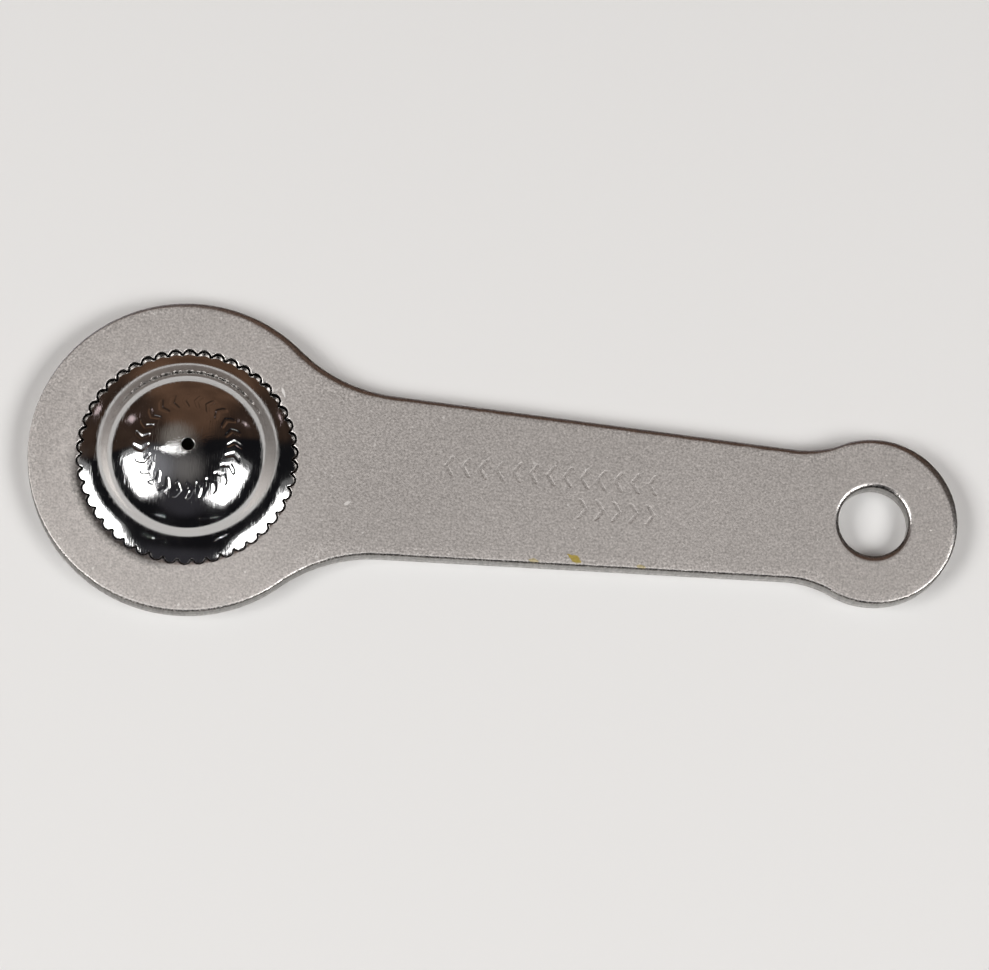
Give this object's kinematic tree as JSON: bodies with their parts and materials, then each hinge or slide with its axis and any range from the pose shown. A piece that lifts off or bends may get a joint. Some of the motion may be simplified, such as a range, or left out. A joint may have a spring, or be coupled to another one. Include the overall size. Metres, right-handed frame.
{
  "type": "pedal dust cap wrench",
  "caption": "Flat stamped steel wrench with a toothed hole for turning a bicycle pedal's dust cap, a hang hole in its tail and a domed cap lying in the teeth.",
  "frame": {"origin": "middle of the overall length, on the centre line, at the height of the underside", "axes": "+X along the wrench from the toothed head to the tail, +Z out of the face that the cap's dome stands above, +Y across"},
  "size_m": [0.1042, 0.0354, 0.0081],
  "materials": {
    "wrench_steel": "fine matt blasted and plated",
    "cap_chrome": "bright chrome"
  },
  "bodies": {
    "root": {"wrench": "wrench_steel", "dust_cap": "cap_chrome"}
  },
  "joints": []
}
